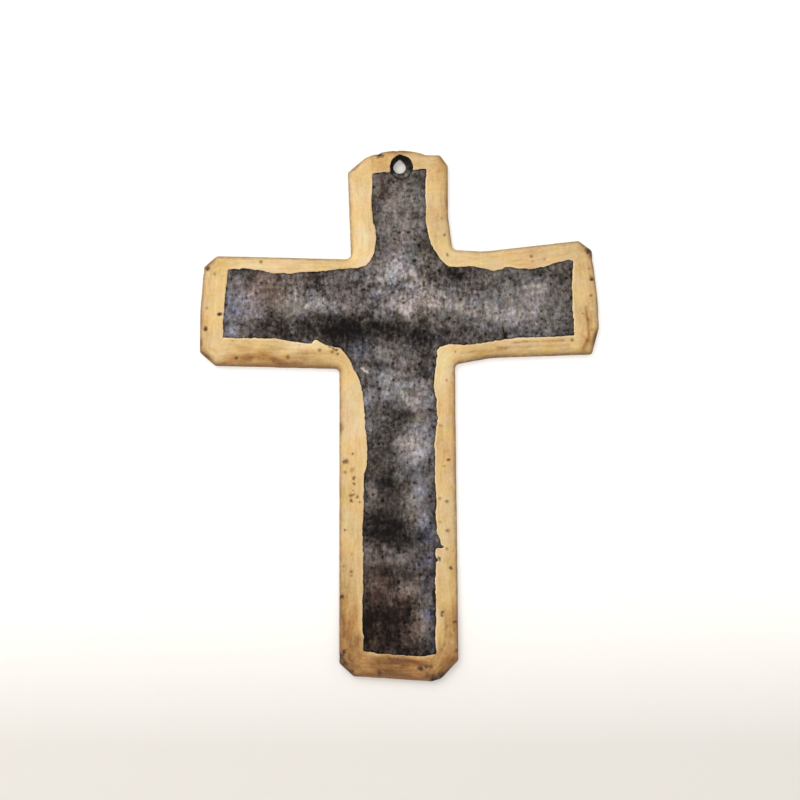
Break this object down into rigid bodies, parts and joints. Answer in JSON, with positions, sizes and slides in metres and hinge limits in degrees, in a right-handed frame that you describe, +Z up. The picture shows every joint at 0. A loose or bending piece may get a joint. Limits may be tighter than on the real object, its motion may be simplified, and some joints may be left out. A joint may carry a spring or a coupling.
{
  "type": "hanging iron grave cross",
  "caption": "Thin hand-cut sheet-iron Latin cross with clipped corners and a gold-painted border, hung by a punched hole in its head.",
  "frame": {"origin": "axis of the hanging hole, at the flat back of the sheet, on the wall plane", "axes": "+Z up from the foot to the head, +X to the viewer's right, -Y out of the painted front"},
  "size_m": [0.0904, 0.0016, 0.12],
  "materials": {
    "black_iron": "worn black finish on sheet iron, mottled with bare grey and blue-grey patches and fine black pits",
    "gold_paint": "brushed-on gold paint border, satin, browned and chipped towards the edges"
  },
  "bodies": {
    "root": {"cross": "black_iron"}
  },
  "joints": []
}
